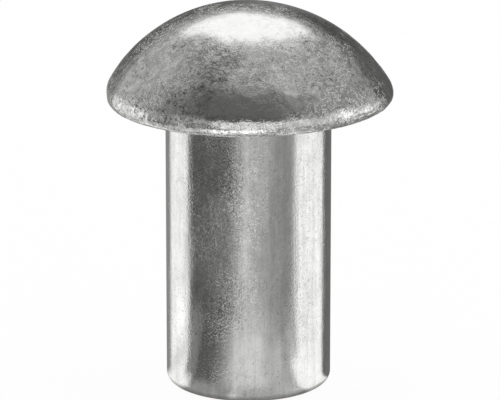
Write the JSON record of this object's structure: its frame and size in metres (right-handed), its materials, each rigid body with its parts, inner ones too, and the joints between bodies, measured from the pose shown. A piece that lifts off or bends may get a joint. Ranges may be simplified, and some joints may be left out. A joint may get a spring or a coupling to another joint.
{
  "type": "round head rivet",
  "caption": "Solid round head rivet with a domed head and a plain straight shank, set through plates and headed over to join them.",
  "frame": {"origin": "centre of the flat bearing face under the head, on the shank's axis", "axes": "+Z along the shank's axis, out through the crown of the head"},
  "size_m": [0.0138, 0.0138, 0.0188],
  "materials": {
    "metal": "satin"
  },
  "bodies": {
    "root": {"rivet": "metal"}
  },
  "joints": []
}
